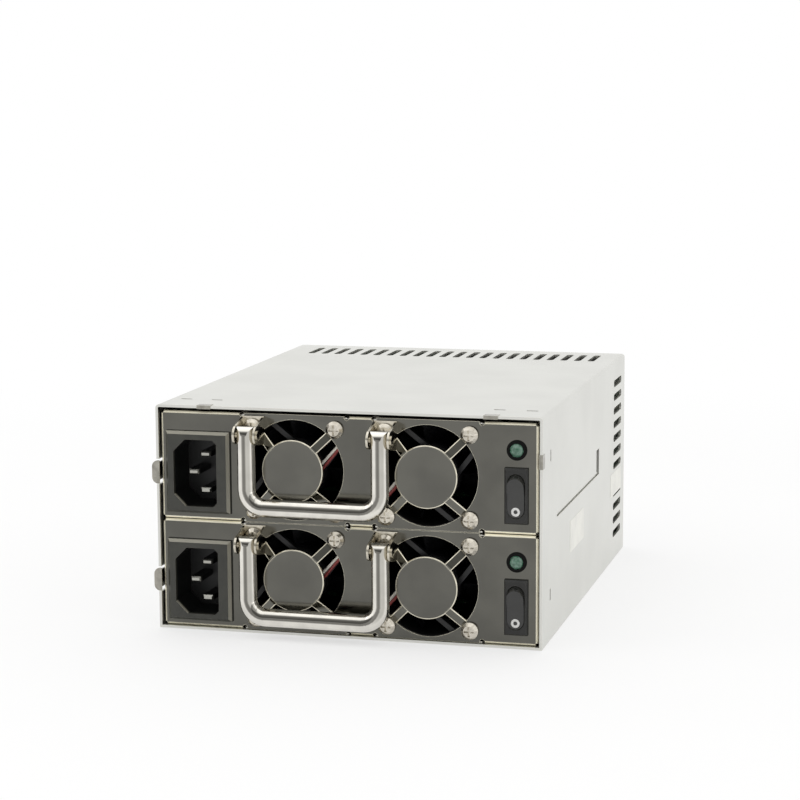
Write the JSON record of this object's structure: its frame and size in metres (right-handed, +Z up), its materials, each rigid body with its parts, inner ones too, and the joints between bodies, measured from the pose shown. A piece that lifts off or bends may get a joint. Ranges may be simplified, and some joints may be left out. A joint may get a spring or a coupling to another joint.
{
  "type": "redundant hot swap server power supply",
  "caption": "Rack server power supply: a sheet steel cage holding stacked hot swap modules with bail handles, mains inlets, fans, lamps and rocker switches.",
  "frame": {"origin": "centre of the cage's bottom face", "axes": "+Z up, -Y out of the module fronts, +X to the right seen from the front"},
  "size_m": [0.1517, 0.1983, 0.0872],
  "materials": {
    "cage_steel": "zinc-coated sheet, soft satin",
    "face_nickel": "bright nickel-plated sheet",
    "module_steel": "zinc-coated sheet",
    "handle_chrome": "polished plated rod",
    "bracket_nickel": "bright plated",
    "screw_nickel": "bright plated pan heads",
    "inlet_plastic": "fine matt black",
    "pin_metal": "plated contact blades",
    "lamp_rim": "black",
    "lamp_lens": "translucent green",
    "switch_plastic": "matt black",
    "rocker_plastic": "satin black",
    "fan_plastic": "black glass-filled",
    "rotor_plastic": "black glass-filled",
    "lead_sleeve": "insulated wire",
    "spring_steel": "bright spring steel",
    "circuit_board": "green laminate",
    "socket_plastic": "natural moulded",
    "can_sleeve": "shrink sleeve",
    "ferrite": "dark core and tape",
    "sink_aluminium": "extruded",
    "standoff_brass": "turned",
    "bushing_plastic": "black nylon"
  },
  "bodies": {
    "cage": {"cage_cover": "cage_steel", "cage_base": "cage_steel", "mid_shelf": "cage_steel", "rear_panel": "cage_steel", "cable_outlet_bushing": "bushing_plastic", "cage_screws": "screw_nickel", "backplane_board": "circuit_board", "backplane_carrier": "cage_steel", "backplane_sockets": "socket_plastic", "board_standoffs": "standoff_brass", "distribution_board": "circuit_board", "distribution_heatsink": "sink_aluminium", "distribution_capacitors": "can_sleeve", "grounding_clips": "spring_steel"},
    "module_lower": {"faceplate_lower": "face_nickel", "tray_lower": "module_steel", "lid_lower": "module_steel", "inlet_body_lower": "inlet_plastic", "inlet_pins_lower": "pin_metal", "led_holder_lower": "lamp_rim", "led_lens_lower": "lamp_lens", "switch_body_lower": "switch_plastic", "fan_frames_lower": "fan_plastic", "fan_screws_lower": "screw_nickel", "fan_leads_lower": "lead_sleeve", "handle_brackets_lower": "bracket_nickel", "handle_pins_lower": "bracket_nickel", "main_board_lower": "circuit_board", "bulk_capacitors_lower": "can_sleeve", "transformer_lower": "ferrite", "heatsinks_lower": "sink_aluminium"},
    "bail_lower": {"handle_lower": "handle_chrome"},
    "fan_left_lower": {"fan_rotor_left_lower": "rotor_plastic"},
    "fan_right_lower": {"fan_rotor_right_lower": "rotor_plastic"},
    "rocker_lower": {"switch_rocker_lower": "rocker_plastic"},
    "latch_lower": {"latch_spring_lower": "spring_steel"},
    "module_upper": {"faceplate_upper": "face_nickel", "tray_upper": "module_steel", "lid_upper": "module_steel", "inlet_body_upper": "inlet_plastic", "inlet_pins_upper": "pin_metal", "led_holder_upper": "lamp_rim", "led_lens_upper": "lamp_lens", "switch_body_upper": "switch_plastic", "fan_frames_upper": "fan_plastic", "fan_screws_upper": "screw_nickel", "fan_leads_upper": "lead_sleeve", "handle_brackets_upper": "bracket_nickel", "handle_pins_upper": "bracket_nickel", "main_board_upper": "circuit_board", "bulk_capacitors_upper": "can_sleeve", "transformer_upper": "ferrite", "heatsinks_upper": "sink_aluminium"},
    "bail_upper": {"handle_upper": "handle_chrome"},
    "fan_left_upper": {"fan_rotor_left_upper": "rotor_plastic"},
    "fan_right_upper": {"fan_rotor_right_upper": "rotor_plastic"},
    "rocker_upper": {"switch_rocker_upper": "rocker_plastic"},
    "latch_upper": {"latch_spring_upper": "spring_steel"}
  },
  "joints": [
    {"name": "module_lower_slide", "type": "slide", "parent": "cage", "child": "module_lower", "axis": [0, -1, 0], "range_m": [0, 0.155]},
    {"name": "handle_lower_swing", "type": "hinge", "parent": "module_lower", "child": "bail_lower", "pos_m": [-0.01035, -0.1003, 0.03585], "axis": [-1, 0, 0], "range_deg": [0, 90]},
    {"name": "fan_left_lower_spin", "type": "hinge", "parent": "module_lower", "child": "fan_left_lower", "pos_m": [-0.0202, -0.08, 0.02165], "axis": [0, 1, 0], "continuous": true},
    {"name": "fan_right_lower_spin", "type": "hinge", "parent": "module_lower", "child": "fan_right_lower", "pos_m": [0.0315, -0.08, 0.02165], "axis": [0, 1, 0], "continuous": true},
    {"name": "rocker_lower_press", "type": "hinge", "parent": "module_lower", "child": "rocker_lower", "pos_m": [0.0651, -0.0899, 0.0156], "axis": [-1, 0, 0], "range_deg": [0, 16]},
    {"name": "latch_lower_lock", "type": "hinge", "parent": "module_lower", "child": "latch_lower", "pos_m": [-0.07295, -0.0465, 0.0191], "axis": [0, 0, -1], "range_deg": [0, 1.4], "stiffness_Nm_per_rad": 0.5, "springref_deg": 1.4},
    {"name": "module_upper_slide", "type": "slide", "parent": "cage", "child": "module_upper", "axis": [0, -1, 0], "range_m": [0, 0.155]},
    {"name": "handle_upper_swing", "type": "hinge", "parent": "module_upper", "child": "bail_upper", "pos_m": [-0.01035, -0.1003, 0.07775], "axis": [-1, 0, 0], "range_deg": [0, 90]},
    {"name": "fan_left_upper_spin", "type": "hinge", "parent": "module_upper", "child": "fan_left_upper", "pos_m": [-0.0202, -0.08, 0.06355], "axis": [0, 1, 0], "continuous": true},
    {"name": "fan_right_upper_spin", "type": "hinge", "parent": "module_upper", "child": "fan_right_upper", "pos_m": [0.0315, -0.08, 0.06355], "axis": [0, 1, 0], "continuous": true},
    {"name": "rocker_upper_press", "type": "hinge", "parent": "module_upper", "child": "rocker_upper", "pos_m": [0.0651, -0.0899, 0.0575], "axis": [-1, 0, 0], "range_deg": [0, 16]},
    {"name": "latch_upper_lock", "type": "hinge", "parent": "module_upper", "child": "latch_upper", "pos_m": [-0.07295, -0.0465, 0.061], "axis": [0, 0, -1], "range_deg": [0, 1.4], "stiffness_Nm_per_rad": 0.5, "springref_deg": 1.4}
  ]
}
